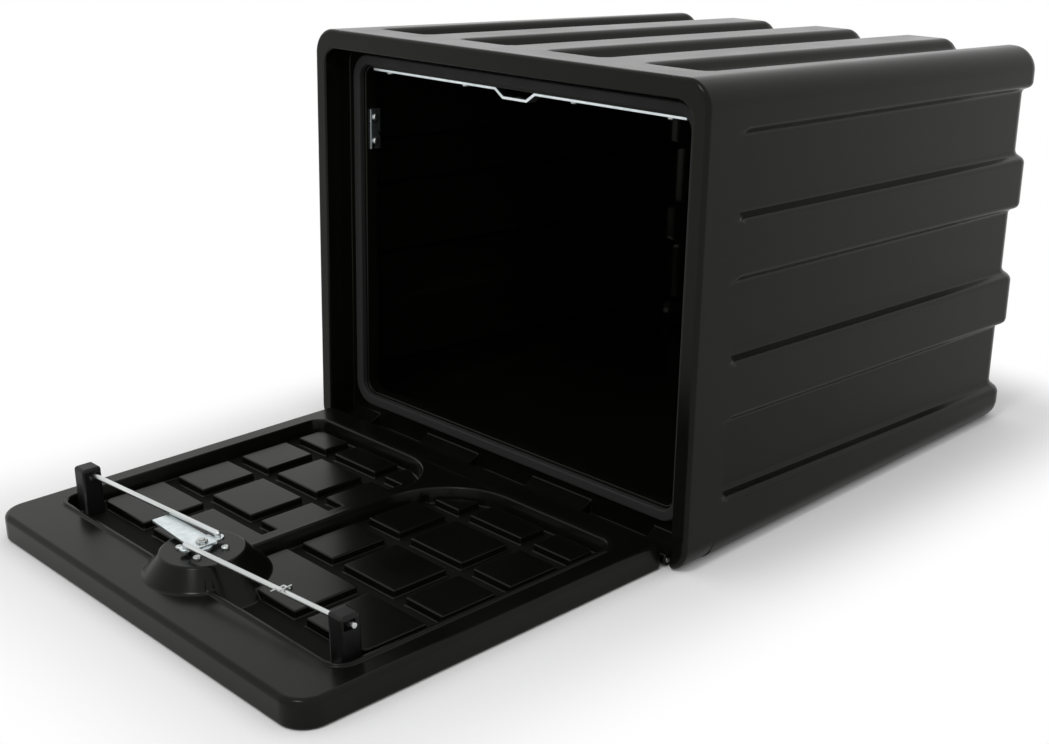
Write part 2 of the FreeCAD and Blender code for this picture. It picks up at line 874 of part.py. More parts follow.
round_edges(outer, S.outer_round, on_table)
tray = new_sketch(outer, "XY_Plane", S.weld_level)
tray_half = door_half - S.door_wall
add_rounded(tray, -tray_half, tray_half, reach + S.door_wall, heel - S.door_wall, hollow_radii)
pocket(outer, tray, S.weld_level - S.door_wall)
dish_mouth = new_sketch(outer, "XY_Plane", 0)
mouth_radius = cone_radius(S.door_wall, S.door_wall)
add_circle(dish_mouth, 0, dish_y, mouth_radius)
pocket(outer, dish_mouth, S.door_wall, Reversed=True)
for place in (-2, 0, 2):
    start = (place - 0.5) * knuckle_long + S.knuckle_clear
    length = knuckle_long - 2 * S.knuckle_clear
    barrel = profile_side(outer, start)
    add_circle(barrel, S.pivot_y, S.pivot_z, S.knuckle_radius)
    pad(outer, barrel, length)
    web = profile_side(outer, start)
    add_polygon(web, [
        (heel - S.door_wall / 2, S.outer_round),
        (heel, S.pivot_z - S.knuckle_radius + S.web_rise),
        (S.pivot_y, S.pivot_z - S.knuckle_radius),
        (S.pivot_y, S.pivot_z + S.knuckle_radius),
        (heel, S.pivot_z + S.knuckle_radius),
        (heel, S.weld_level),
        (heel - S.door_wall / 2, S.weld_level),
    ])
    pad(outer, web, length)
outer_bore = profile_side(outer, -door_half)
add_circle(outer_bore, S.pivot_y, S.pivot_z, S.rod_radius + S.bore_clear)
pocket(outer, outer_bore, 2 * door_half, Reversed=True)
place_door(outer)


inner = new_body("door_inner")
inner_sketch = new_sketch(inner, "XY_Plane", S.weld_level)
add_rounded(inner_sketch, -door_half, door_half, reach, heel, door_radii)
pad(inner, inner_sketch, S.door_thick - S.weld_level)


def on_flange(first, second):
    return abs(first.z - S.door_thick.value) < 0.01 and abs(second.z - S.door_thick.value) < 0.01


round_edges(inner, S.door_round, on_flange)
curb = new_sketch(inner, "XY_Plane", S.door_thick)
curb_half = pan_half + S.curb_width
add_rounded(
    curb, -curb_half, curb_half, -pan_reach - S.curb_width, -S.pan_heel + S.curb_width,
    (S.pan_corner + S.curb_width,) * 4,
)
pad(inner, curb, S.curb_height)
pan_depth = S.door_thick + S.curb_height - S.pan_floor


def cut_pan(left, right, radii):
    """Sink one of the two pans from the top of the curb down to the pan floor."""
    sketch = new_sketch(inner, "XY_Plane", S.door_thick + S.curb_height)
    add_rounded(sketch, left, right, -pan_reach, -S.pan_heel, radii)
    pocket(inner, sketch, pan_depth, TaperAngle=-S.pan_taper)


cut_pan(-pan_half, S.web_left, (S.pan_corner, S.left_sweep, S.pan_corner, S.pan_corner))
cut_pan(S.web_right, pan_half, (S.pan_corner, S.pan_corner, S.right_sweep, S.pan_corner))

field_height = S.pillow_top - S.pan_floor


def raise_field(left, right, radii):
    """Raise a pillow field from a pan's floor."""
    sketch = new_sketch(inner, "XY_Plane", S.pan_floor)
    add_rounded(sketch, left, right, -pillow_reach, -S.pillow_heel, radii)
    pad(inner, sketch, field_height)


def cut_grooves(grooves):
    """Cut straight grooves into a pillow field, each given by its four sides."""
    sketch = new_sketch(inner, "XY_Plane", S.pillow_top)
    for left, right, low, high in grooves:
        add_rectangle(sketch, left, right, low, high)
    pocket(inner, sketch, field_height)


small = S.pan_corner / 2
raise_field(-pillow_half, S.left_field, (small, S.left_sweep - S.pan_corner, small, small))
raise_field(S.right_field, pillow_half, (small, small, S.right_sweep - S.pan_corner, small))
rows = (S.row_one, S.row_two, S.row_three)
cut_grooves([(-pillow_half - 1, S.left_grooves, -row - S.groove_width, -row) for row in rows])
cut_grooves([(S.right_field - 1, pillow_half + 1, -row - S.groove_width, -row) for row in rows])
low_row = -S.row_three - S.groove_width / 2
upper_shares = (-S.left_column_one, -S.left_column_two, S.right_column_one, S.right_column_two)
upper = [share * pillow_half for share in upper_shares]
cut_grooves([(side, side + S.groove_width, low_row, -S.pillow_heel + 1) for side in upper])
lower = [-S.left_column_low * pillow_half, S.right_column_low * pillow_half]
cut_grooves([(side, side + S.groove_width, -pillow_reach - 1, low_row) for side in lower])

under = new_sketch(inner, "XY_Plane", S.weld_level)
add_rounded(under, -tray_half, tray_half, reach + S.door_wall, heel - S.door_wall, hollow_radii)
block_half = pan_half + S.door_wall
add_rectangle(under, -block_half, block_half, -pan_reach - S.door_wall, -S.pan_heel + S.door_wall)
pocket(inner, under, S.door_thick - S.weld_level - S.door_wall, Reversed=True)


def dish_profile(skin, low, high):
    """Corners of half a cone's section about the dish's axis, from the axis outwards."""
    return [
        (0, low),
        (cone_radius(low, skin), low),
        (cone_radius(high, skin), high),
        (0, high),
    ]


def turn_dish(kind, corners):
    """Add or cut a cone about the handle dish's axis."""
    sketch = new_sketch(inner, "YZ_Plane", 0)
    add_polygon(sketch, [(dish_y + as_size(x), z) for x, z in corners])
    item = inner.newObject(f"PartDesign::{kind}", f"door_inner_{kind.lower()}")
    item.Profile = sketch
    item.ReferenceAxis = (sketch, ["Edge4"])
    item.Angle = 360


turn_dish("Revolution", dish_profile(0, S.door_wall, S.disc_level))
turn_dish("Groove", dish_profile(S.door_wall, S.door_wall - 1, dish_floor))
spindle_way = new_sketch(inner, "XY_Plane", S.disc_level)
add_circle(spindle_way, 0, dish_y, S.spindle_hole)
pocket(inner, spindle_way, 2 * S.door_wall)
place_door(inner)


# Guide posts on the door: each rod slides through a window in one

post_middle = -post_reach + S.post_size / 2


def above_floor(edge):
    """True for a post's edges that don't lie on the pan's floor."""
    return edge.BoundBox.ZMax > S.pan_floor.value + 1


guide_screws = []
for side, name in ((-1, "left"), (1, "right")):
    low_x = post_inner if side > 0 else -post_inner - S.post_size
    foot_x = post_inner if side > 0 else -post_inner - S.post_foot_width
    block = solid(
        "Box", f"guide_block_{name}", low_x, -post_reach, S.pan_floor,
        Length=S.post_size, Width=S.post_size, Height=S.post_top - S.pan_floor,
    )
    rounded_block = soften(f"guide_round_{name}", block, S.post_round, above_floor)
    foot = solid(
        "Box", f"guide_foot_{name}", foot_x, -post_reach - S.post_foot, S.pan_floor,
        Length=S.post_foot_width, Width=S.post_foot + 1, Height=S.post_flange,
    )
    window_middle = post_middle - side * S.window_shift
    window = solid(
        "Box", f"guide_window_{name}", low_x - 1, window_middle - S.window_half, S.window_low,
        Length=S.post_size + 2, Width=2 * S.window_half, Height=S.window_high - S.window_low,
    )
    place_door(cut(f"guide_{name}", fuse(f"guide_post_{name}", [rounded_block, foot]), window))
    screw_x = side * (post_inner + S.post_foot_width / 2)
    screw_y = -post_reach - S.post_foot / 2
    screw_z = S.pan_floor + S.post_flange
    guide_screws.append(screw(f"guide_screw_{name}", screw_x, screw_y, screw_z, V(0, 0, 1), 0))
place_door(group("guide_screws", guide_screws))


# Lock housing in the dish, with the handle's bearing

flange = solid(
    "Cylinder", "housing_flange_disc", 0, dish_y, dish_floor - S.housing_flange,
    Radius=S.housing_radius, Height=S.housing_flange,
)
bearing = solid(
    "Cylinder", "housing_barrel", 0, dish_y, S.barrel_end,
    Radius=S.barrel_radius, Height=dish_floor - S.barrel_end,
)
bearing_bore = solid(
    "Cylinder", "housing_bore", 0, dish_y, S.barrel_end - 1,
    Radius=S.stem_radius + S.bore_clear, Height=dish_floor - S.barrel_end + 2,
)
place_door(cut("lock_housing", fuse("housing_body", [flange, bearing]), bearing_bore))
lock_screws = []
for number, (x_side, y_side) in enumerate(((-1, -1), (1, -1), (1, 1), (-1, 1)), start=1):
    x = x_side * S.housing_screw
    y = dish_y + y_side * S.housing_screw
    lock_screws.append(screw(f"lock_screw_{number}", x, y, S.disc_level, V(0, 0, 1), 0))
place_door(group("lock_screws", lock_screws))


# What turns with the handle

handle = new_body("t_handle")
bar = new_sketch(handle, "XY_Plane", S.handle_skin)
bar_width = S.handle_width / 2
bar_round = S.handle_width / 2 - 1
add_rounded(bar, -S.handle_half, S.handle_half, dish_y - bar_width, dish_y + bar_width, (bar_round,) * 4)
pad(handle, bar, S.handle_thick)
hub = new_sketch(handle, "XY_Plane", S.handle_skin)
add_circle(hub, 0, dish_y, S.handle_hub)
pad(handle, hub, S.handle_thick)
handle_back = S.handle_skin + S.handle_thick


def on_bar_end(first, second):
    """True for the bar's edges on its outer or inner face, clear of the hub."""
    level = abs(first.z - second.z) < 0.01
    return level and min(abs(first.x), abs(second.x)) > S.handle_hub.value + 1


round_edges(handle, S.handle_round, on_bar_end)
stem = new_sketch(handle, "XY_Plane", handle_back)
add_circle(stem, 0, dish_y, S.stem_radius)
pad(handle, stem, dish_floor - handle_back - S.spacer_clear)
socket = new_sketch(handle, "XY_Plane", dish_floor)
socket_half = S.square_half + S.square_clear
add_rectangle(socket, -socket_half, socket_half, dish_y - socket_half, dish_y + socket_half)
pocket(handle, socket, dish_floor - S.square_start)
plug_hole = new_sketch(handle, "XY_Plane", S.handle_skin)
add_circle(plug_hole, 0, dish_y, S.plug_radius + S.bore_clear)
pocket(handle, plug_hole, S.plug_depth, Reversed=True)
place_door(handle)

spindle_square = solid(
    "Box", "spindle_square", -S.square_half, dish_y - S.square_half, S.square_start,
    Length=2 * S.square_half, Width=2 * S.square_half, Height=plate_high - S.square_start,
)
spindle_stud = solid(
    "Cylinder", "spindle_stud", 0, dish_y, plate_high,
    Radius=S.stud_radius, Height=S.stud_end - plate_high,
)
place_door(fuse("spindle", [spindle_square, spindle_stud]))

spacer_ring = solid(
    "Cylinder", "spacer_ring", 0, dish_y, S.disc_level + S.spacer_clear,
    Radius=S.spacer_radius, Height=S.plate_lift - S.spacer_clear,
)
spacer_hole = solid(
    "Box", "spacer_hole", -socket_half, dish_y - socket_half, S.disc_level,
    Length=2 * socket_half, Width=2 * socket_half, Height=S.plate_lift + 1,
)
place_door(cut("spacer", spacer_ring, spacer_hole))

cam = new_body("cam_plate")
tongue = new_sketch(cam, "XY_Plane", plate_low)
add_polygon(tongue, [
    (-S.tongue_reach, dish_y - S.tongue_tip),
    (-S.crank_radius, dish_y - S.tongue_half),
    (S.tongue_tail, dish_y - S.tongue_half),
    (S.tongue_tail, dish_y + S.tongue_half),
    (-S.tongue_reach, dish_y + S.tongue_half),
])
pad(cam, tongue, S.plate_thick)
ears = new_sketch(cam, "XY_Plane", plate_low)
ear_low = dish_y - S.crank_radius
ear_high = dish_y + S.crank_radius
add_rectangle(ears, -S.ear_radius, S.ear_radius, ear_low, ear_high)
pad(cam, ears, S.plate_thick)
for y in (ear_low, ear_high):
    ear = new_sketch(cam, "XY_Plane", plate_low)
    add_circle(ear, 0, y, S.ear_radius)
    pad(cam, ear, S.plate_thick)
eyes = new_sketch(cam, "XY_Plane", plate_high)
for y in (ear_low, ear_high):
    add_circle(eyes, 0, y, S.link_radius + S.pin_clear)
add_rectangle(eyes, -socket_half, socket_half, dish_y - socket_half, dish_y + socket_half)
pocket(cam, eyes, S.plate_thick)
place_door(cam)

nut_block = solid(
    "Prism", "nut_block", 0, dish_y, plate_high,
    Circumradius=S.nut_radius, Height=S.nut_height,
)
nut_block.Polygon = 6
nut_bore = solid(
    "Cylinder", "nut_bore", 0, dish_y, plate_high - 1,
    Radius=S.stud_radius, Height=S.nut_height + 2,
)
place_door(cut("spindle_nut", nut_block, nut_bore))

plug_body = solid(
    "Cylinder", "plug_body", 0, dish_y, S.handle_skin - S.plug_proud,
    Radius=S.plug_radius, Height=S.plug_depth,
)
key_way = solid(
    "Box", "key_way", -S.key_slot / 2, dish_y - S.key_gap / 2, 0,
    Length=S.key_slot, Width=S.key_gap, Height=S.handle_skin + S.plug_depth / 2,
)
place_door(cut("lock_plug", plug_body, key_way))


# The two locking rods, each with a leg in the cam plate's ear

def place_rod(item, y, angle):
    """Turn a piece made along a rod about the rod's own pin."""
    item.Placement = FreeCAD.Placement(V(0, 0, 0), FreeCAD.Rotation(V(0, 0, 1), angle.value))
    shift_to(item, 0, y - S.case_depth / 2, 0)
    bind(item, "Placement.Rotation.Angle", angle)
    SUBPARTS.append(item)


def make_rod(name, across):
    """A rod from its pin to past its guide post, and the angle at which it lies."""
    slant = arctangent(across / link_reach)
    run = solid(
        "Cylinder", f"rod_run_{name}", 0, 0, link_level, V(0, 1, 0), 90,
        Radius=S.link_radius, Height=link_reach / cosine(slant),
    )
    leg = solid(
        "Cylinder", f"rod_leg_{name}", 0, 0, plate_low,
        Radius=S.link_radius, Height=link_level - plate_low,
    )
    elbow = solid("Sphere", f"rod_elbow_{name}", 0, 0, link_level, Radius=S.link_radius)
    return [run, leg, elbow], slant


left_pieces, left_slant = make_rod("left", S.crank_radius - S.link_offset)
place_rod(fuse("rod_left", left_pieces), ear_high, left_slant + 180)
right_pieces, right_slant = make_rod("right", S.crank_radius + S.link_offset)
clip_place = S.clip_share * link_reach
clip_end = clip_place + S.clip_gap
clip_hole = solid(
    "Cylinder", "clip_hole", clip_place, S.clip_leg, link_level, V(1, 0, 0), 90,
    Radius=S.clip_radius + S.square_clear, Height=2 * S.clip_leg,
)
place_rod(cut("rod_right", fuse("rod_form_right", right_pieces), clip_hole), ear_low, right_slant)


# Wire clip: one leg through the right rod, a bend beside it and one leg over it

clip_over_level = link_level + S.link_radius + S.clip_radius + S.link_clear
clip_pieces = [
    solid(
        "Cylinder", "clip_through", clip_place, S.clip_leg, link_level, V(1, 0, 0), 90,
        Radius=S.clip_radius, Height=2 * S.clip_leg,
    ),
    solid(
        "Cylinder", "clip_side", clip_place, S.clip_leg, link_level, V(0, 1, 0), 90,
        Radius=S.clip_radius, Height=S.clip_gap,
    ),
    solid(
        "Cylinder", "clip_rise", clip_end, S.clip_leg, link_level,
        Radius=S.clip_radius, Height=clip_over_level - link_level,
    ),
    solid(
        "Cylinder", "clip_over", clip_end, S.clip_leg, clip_over_level, V(1, 0, 0), 90,
        Radius=S.clip_radius, Height=2 * S.clip_leg,
    ),
]
for place, level in ((clip_place, link_level), (clip_end, link_level), (clip_end, clip_over_level)):
    clip_pieces.append(solid("Sphere", "clip_corner", place, S.clip_leg, level, Radius=S.clip_radius))
place_rod(fuse("rod_clip", clip_pieces), ear_low, right_slant)


# Every object is checked, then each sub-part is written

def failed(item):
    return any(state in ("Invalid", "Error") for state in item.State)


def cuts_nothing(item):
    """True for a pocket or groove that leaves its body's volume as it was."""
    if item.TypeId not in ("PartDesign::Pocket", "PartDesign::Groove"):
        return False
    return item.Shape.Volume > item.BaseFeature.Shape.Volume - 1e-6


doc.recompute()
broken = [item.Name for item in doc.Objects if failed(item)]
if broken:
    raise RuntimeError(f"objects that did not build: {broken}")
idle = [item.Name for item in doc.Objects if cuts_nothing(item)]
if idle:
    raise RuntimeError(f"cuts that take nothing away: {idle}")
for item in SUBPARTS:
    shape = item.Shape
    if shape.isNull() or not shape.isValid() or shape.Volume <= 0:
        raise RuntimeError(f"{item.Label} has no valid shape")
os.makedirs("parts", exist_ok=True)
for item in SUBPARTS:
    item.Shape.exportStep(f"parts/{item.Label}.step")
    box = item.Shape.BoundBox
    low = f"{box.XMin:.1f} {box.YMin:.1f} {box.ZMin:.1f}"
    high = f"{box.XMax:.1f} {box.YMax:.1f} {box.ZMax:.1f}"
    volume = item.Shape.Volume / 1000
    print(f"{item.Label}: {len(item.Shape.Solids)} solids, {volume:.1f} cm3, {low} to {high}")
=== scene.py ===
import logging
import math
from dataclasses import dataclass
from enum import Enum

import bmesh
import bpy
from mathutils import Euler, Matrix, Vector
from mathutils.bvhtree import BVHTree


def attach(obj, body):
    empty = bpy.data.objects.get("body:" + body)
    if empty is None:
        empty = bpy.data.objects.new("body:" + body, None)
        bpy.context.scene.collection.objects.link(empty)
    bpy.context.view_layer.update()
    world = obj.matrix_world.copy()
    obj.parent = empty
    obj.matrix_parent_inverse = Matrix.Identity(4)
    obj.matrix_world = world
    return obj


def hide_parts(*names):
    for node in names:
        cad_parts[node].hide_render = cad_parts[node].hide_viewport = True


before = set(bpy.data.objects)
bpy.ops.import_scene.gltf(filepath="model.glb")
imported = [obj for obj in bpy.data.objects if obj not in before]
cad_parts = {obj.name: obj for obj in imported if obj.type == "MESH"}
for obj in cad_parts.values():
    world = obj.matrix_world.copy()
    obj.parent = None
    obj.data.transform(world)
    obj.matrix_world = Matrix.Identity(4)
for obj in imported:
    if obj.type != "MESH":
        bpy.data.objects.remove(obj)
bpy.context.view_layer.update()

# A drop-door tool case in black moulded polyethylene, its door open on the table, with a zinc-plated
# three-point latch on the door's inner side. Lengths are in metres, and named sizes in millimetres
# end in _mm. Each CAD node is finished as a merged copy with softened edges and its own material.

MM = 0.001
LOG = logging.getLogger("tool_case")

# Face attributes that the finishes read
EDGE_MARK = "edge_mark"
# The hollow mark darkens the floors of the grooves with painted shade, and makes them rougher
HOLLOW_SHADE_AND_DULL_MARK = "hollow_shade_and_dull_mark"

# Noise levels between which a finish's colour and roughness drift
COLOUR_DRIFT = {"From Min": 0.35, "From Max": 0.65}
ROUGHNESS_DRIFT = {"From Min": 0.3, "From Max": 0.7}
BLOTCH_DETAIL = 4.0
GRAIN_DETAIL = 3.0

# Merging of a CAD node's triangles, and what counts as flat, level or in one plane
MERGE_MM = 0.002
FLAT_DEG = 0.4
PLANE_MM = 0.1
LEVEL_SHARE = 0.99

# How far, in edge radii, a softened corner may lie from the shape that it softens
SETTLE_SHARE = 0.6
# An edge this much steeper than a hard one stays sharp in the shading
SHARP_MARGIN_DEG = 5.0
# Weight that keeps a piece's large faces flat in the shading
FACE_WEIGHT = 100


def srgb(code: str) -> tuple[float, float, float, float]:
    """Turn an sRGB hex colour into a linear one.

    Args:
        code: Six hex digits.

    Returns:
        Linear red, green, blue and an alpha of 1.
    """
    channels = [int(code[i:i + 2], 16) / 255 for i in (0, 2, 4)]
    linear = [c / 12.92 if c <= 0.04045 else ((c + 0.055) / 1.055) ** 2.4 for c in channels]
    return (*linear, 1.0)


def per_mm(size_mm: float) -> float:
    """Pattern scale, in cycles per metre, that gives one cycle in a length in millimetres."""
    return 1.0 / (size_mm * MM)


def add_node(
    tree: bpy.types.NodeTree,
    kind: str,
    values: dict[str | int, object] | None = None,
    links: dict[str | int, bpy.types.NodeSocket] | None = None,
    **settings: object,
) -> bpy.types.Node:
    """Add a shader node with its settings, socket values and incoming links.

    Args:
        tree: Node tree to add to.
        kind: Node type, without the ShaderNode prefix.
        values: Socket name or number to its value.
        links: Socket name or number to the output that feeds it.
        **settings: Properties of the node.

    Returns:
        The new node.
    """
    item = tree.nodes.new(f"ShaderNode{kind}")
    for name, value in settings.items():
        setattr(item, name, value)
    for socket, value in (values or {}).items():
        item.inputs[socket].default_value = value
    for socket, source in (links or {}).items():
        tree.links.new(source, item.inputs[socket])
    return item


class Mapping(Enum):
    """Direction in which a finish's marks run."""

    NONE = (1.0, 1.0, 1.0)
    ALONG_X = (0.03, 1.0, 1.0)
    ALONG_Y = (1.0, 0.03, 1.0)


@dataclass(frozen=True)
class Finish:
    """A surface finish, with the sizes of its marks in millimetres."""

    name: str
    colour: str
    second_colour: str
    roughness: float
    roughness_swing: float
    metallic: float = 0.0
    blotch_mm: float = 60.0
    grain_mm: float = 1.2
    grain_depth_mm: float = 0.02
    edge_colour: str | None = None
    # Colour of the painted shade in the floors of hollows
    hollow_shade_colour: str | None = None
    hollow_roughness: float = 0.8
    specular: float = 0.5
    specular_tint: str = "ffffff"
    direction: Mapping = Mapping.NONE

    def material(self) -> bpy.types.Material:
        """The finish's material, made once."""
        made = bpy.data.materials.get(self.name)
        return made if made else self.make()

    def make(self) -> bpy.types.Material:
        """Build the material.

        Returns:
            A new material named after the finish.
        """
        material = bpy.data.materials.new(self.name)
        material.use_nodes = True
        tree = material.node_tree
        tree.nodes.clear()
        place = add_node(tree, "TexCoord").outputs["Object"]
        spread = add_node(
            tree, "Mapping", {"Scale": self.direction.value}, {"Vector": place}
        ).outputs["Vector"]
        blotch = self.noise(tree, spread, self.blotch_mm, BLOTCH_DETAIL).outputs["Fac"]
        colour = self.mixed_colour(tree, blotch)
        rough = add_node(
            tree, "MapRange",
            {**ROUGHNESS_DRIFT,
             "To Min": self.roughness - self.roughness_swing,
             "To Max": self.roughness + self.roughness_swing},
            {"Value": blotch},
        ).outputs["Result"]
        # Painted shade: the floors of the hollows are darkened towards the hollow colour, and made
        # rougher
        if self.hollow_shade_colour is not None:
            hollow = add_node(tree, "Attribute", attribute_name=HOLLOW_SHADE_AND_DULL_MARK).outputs["Fac"]
            colour = add_node(
                tree, "Mix", {7: srgb(self.hollow_shade_colour)}, {0: hollow, 6: colour}, data_type="RGBA"
            ).outputs[2]
            rough = add_node(
                tree, "Mix", {3: self.hollow_roughness}, {0: hollow, 2: rough}
            ).outputs[0]
        shader = add_node(
            tree, "BsdfPrincipled",
            {"Metallic": self.metallic, "Specular IOR Level": self.specular,
             "Specular Tint": srgb(self.specular_tint)},
            {"Base Color": colour, "Roughness": rough, "Normal": self.relief(tree, spread)},
        )
        add_node(tree, "OutputMaterial", links={"Surface": shader.outputs["BSDF"]})
        return material

    def noise(
        self, tree: bpy.types.NodeTree, place: bpy.types.NodeSocket, size_mm: float, detail: float
    ) -> bpy.types.Node:
        """Add a noise texture of a real size.

        Args:
            tree: Node tree to add to.
            place: Coordinates that it reads.
            size_mm: Size of its marks.
            detail: Levels of finer marks.

        Returns:
            The noise node.
        """
        return add_node(
            tree, "TexNoise", {"Scale": per_mm(size_mm), "Detail": detail}, {"Vector": place}
        )

    def mixed_colour(
        self, tree: bpy.types.NodeTree, blotch: bpy.types.NodeSocket
    ) -> bpy.types.NodeSocket:
        """Colour that drifts between the finish's two colours, and is paler on its softened edges.

        Args:
            tree: Node tree to add to.
            blotch: Slow noise from 0 to 1.

        Returns:
            The colour output.
        """
        drift = add_node(tree, "MapRange", COLOUR_DRIFT, {"Value": blotch}).outputs["Result"]
        colour = add_node(
            tree, "Mix", {6: srgb(self.colour), 7: srgb(self.second_colour)}, {0: drift},
            data_type="RGBA",
        ).outputs[2]
        if self.edge_colour is None:
            return colour
        edge = add_node(tree, "Attribute", attribute_name=EDGE_MARK).outputs["Fac"]
        return add_node(
            tree, "Mix", {7: srgb(self.edge_colour)}, {0: edge, 6: colour}, data_type="RGBA"
        ).outputs[2]

    def relief(
        self, tree: bpy.types.NodeTree, place: bpy.types.NodeSocket
    ) -> bpy.types.NodeSocket:
        """Fine grain as a bump.

        Args:
            tree: Node tree to add to.
            place: Coordinates that it reads.

        Returns:
            The normal output.
        """
        grain = self.noise(tree, place, self.grain_mm, GRAIN_DETAIL).outputs["Fac"]
        return add_node(
            tree, "Bump", {"Strength": 1.0, "Distance": self.grain_depth_mm * MM}, {"Height": grain}
        ).outputs["Normal"]


# Polyethylene, rotationally moulded: a waxy satin skin, black through, a little paler on its edges,
# and dull in the floors of its grooves, which are also darkened there as painted shade
POLYETHYLENE = Finish(
    "black_polyethylene", "0a0a08", "0d0d0b", 0.22, 0.03,
    blotch_mm=70, grain_mm=1.1, grain_depth_mm=0.008, edge_colour="10100f", hollow_shade_colour="020202",
    specular=0.13, specular_tint="fffff4",
)
# Foam rubber strip: dull and even
SEAL_RUBBER = Finish(
    "black_seal_rubber", "0b0b0b", "121212", 0.8, 0.05,
    blotch_mm=20, grain_mm=0.8, grain_depth_mm=0.05,
)
# Sheet steel, bright zinc plated: pale and faintly cloudy
ZINC_SHEET = Finish(
    "zinc_sheet", "e2e9ea", "d0d8da", 0.3, 0.06, metallic=1.0,
    blotch_mm=7, grain_mm=0.9, grain_depth_mm=0.006,
)
# Drawn wire, zinc plated: fine marks along its length
ZINC_WIRE = Finish(
    "zinc_wire", "dde0df", "c6cac9", 0.3, 0.06, metallic=1.0,
    blotch_mm=6, grain_mm=0.7, grain_depth_mm=0.008, direction=Mapping.ALONG_X,
)
# Cold-headed screws, zinc plated: a little duller than the sheet
ZINC_SCREW = Finish(
    "zinc_screw", "c4c8c6", "aeb2b0", 0.32, 0.06, metallic=1.0,
    blotch_mm=4, grain_mm=0.6, grain_depth_mm=0.01,
)
# Glass-filled nylon: satin black with a fine spark-eroded grain
NYLON = Finish(
    "black_nylon", "0b0b0a", "101010", 0.4, 0.05,
    blotch_mm=25, grain_mm=0.7, grain_depth_mm=0.02, edge_colour="161616", specular=0.2,
)
# Zinc casting, powder coated: satin black with orange peel
POWDER_COAT = Finish(
    "black_powder_coat", "101010", "171717", 0.4, 0.05,
    blotch_mm=18, grain_mm=1.4, grain_depth_mm=0.05, edge_colour="202020",
)
# Brass plug, nickel plated: warm bright metal
NICKEL = Finish(
    "nickel_plug", "cfc9bb", "b9b2a2", 0.22, 0.06, metallic=1.0,
    blotch_mm=5, grain_mm=0.5, grain_depth_mm=0.004,
)


def link(name: str, mesh: bpy.types.Mesh) -> bpy.types.Object:
    """Put a mesh in the scene as an object at the origin."""
    piece = bpy.data.objects.new(name, mesh)
    bpy.context.scene.collection.objects.link(piece)
    return piece


def shade(piece: bpy.types.Object, sharp_deg: float) -> None:
    """Shade a piece smooth, its large faces kept flat, and sharp across steep edges.

    Args:
        piece: Object to shade.
        sharp_deg: Least angle of an edge that stays sharp.
    """
    mesh = piece.data
    mesh.shade_smooth()
    mesh.set_sharp_from_angle(angle=math.radians(sharp_deg))
    weigh = piece.modifiers.new("weighted_normals", "WEIGHTED_NORMAL")
    weigh.keep_sharp = True
    weigh.weight = FACE_WEIGHT
    shaded = piece.evaluated_get(bpy.context.evaluated_depsgraph_get())
    piece.data = bpy.data.meshes.new_from_object(shaded)
    piece.modifiers.clear()
    piece.data.name = mesh.name
    bpy.data.meshes.remove(mesh)


@dataclass(frozen=True)
class Outline:
    """A shape before its bevel: its surface and its box."""

    surface: BVHTree
    low: Vector
    high: Vector

    @classmethod
    def of(cls, shape: bmesh.types.BMesh) -> "Outline":
        """Take the outline of a shape.

        Args:
            shape: The shape.

        Returns:
            Its outline.
        """
        low, high = (
            Vector([limit(corner.co[axis] for corner in shape.verts) for axis in range(3)])
            for limit in (min, max)
        )
        return cls(BVHTree.FromBMesh(shape), low, high)

    def settle(self, shape: bmesh.types.BMesh, radius: float) -> int:
        """Bring corners that a bevel threw too far back to the surface, and all into the box.

        Args:
            shape: Bevelled shape, changed in place.
            radius: The bevel's radius.

        Returns:
            How many corners were brought back to the surface.
        """
        moved = 0
        for corner in shape.verts:
            nearest, _, _, distance = self.surface.find_nearest(corner.co)
            if nearest is not None and distance > SETTLE_SHARE * radius:
                corner.co = nearest
                moved += 1
            corner.co = [
                min(max(at, low), high) for at, low, high in zip(corner.co, self.low, self.high)
            ]
        return moved


def merged_copy(node: str) -> bmesh.types.BMesh:
    """Copy a CAD node with its triangles merged into whole faces.

    Args:
        node: Name of the CAD node.

    Returns:
        A bmesh of the node.
    """
    shape = bmesh.new()
    shape.from_mesh(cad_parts[node].data)
    bmesh.ops.remove_doubles(shape, verts=shape.verts, dist=MERGE_MM * MM)
    bmesh.ops.dissolve_limit(
        shape, angle_limit=math.radians(FLAT_DEG), verts=shape.verts, edges=shape.edges,
        use_dissolve_boundaries=False,
    )
    return shape


@dataclass(frozen=True)
class Seam:
    """A plane in which two pieces meet flush, so that no edge in it is softened."""

    point_mm: tuple[float, float, float]
    lean_deg: float

    def holds(self, edge: bmesh.types.BMEdge) -> bool:
        """True for an edge that lies in the plane."""
        normal = Matrix.Rotation(math.radians(self.lean_deg), 3, "X") @ Vector((0, 0, 1))
        point = Vector(self.point_mm) * MM
        return all(abs((corner.co - point).dot(normal)) < PLANE_MM * MM for corner in edge.verts)


# The level plane in which the door's two mouldings are welded
WELD_SEAM = Seam((0.0, 0.0, 8.5), 0.0)
# The upright plane, leaning back with the case, in which the front frame meets the shell
FRAME_SEAM = Seam((0.0, -218.734, 5.012), -92.6156)


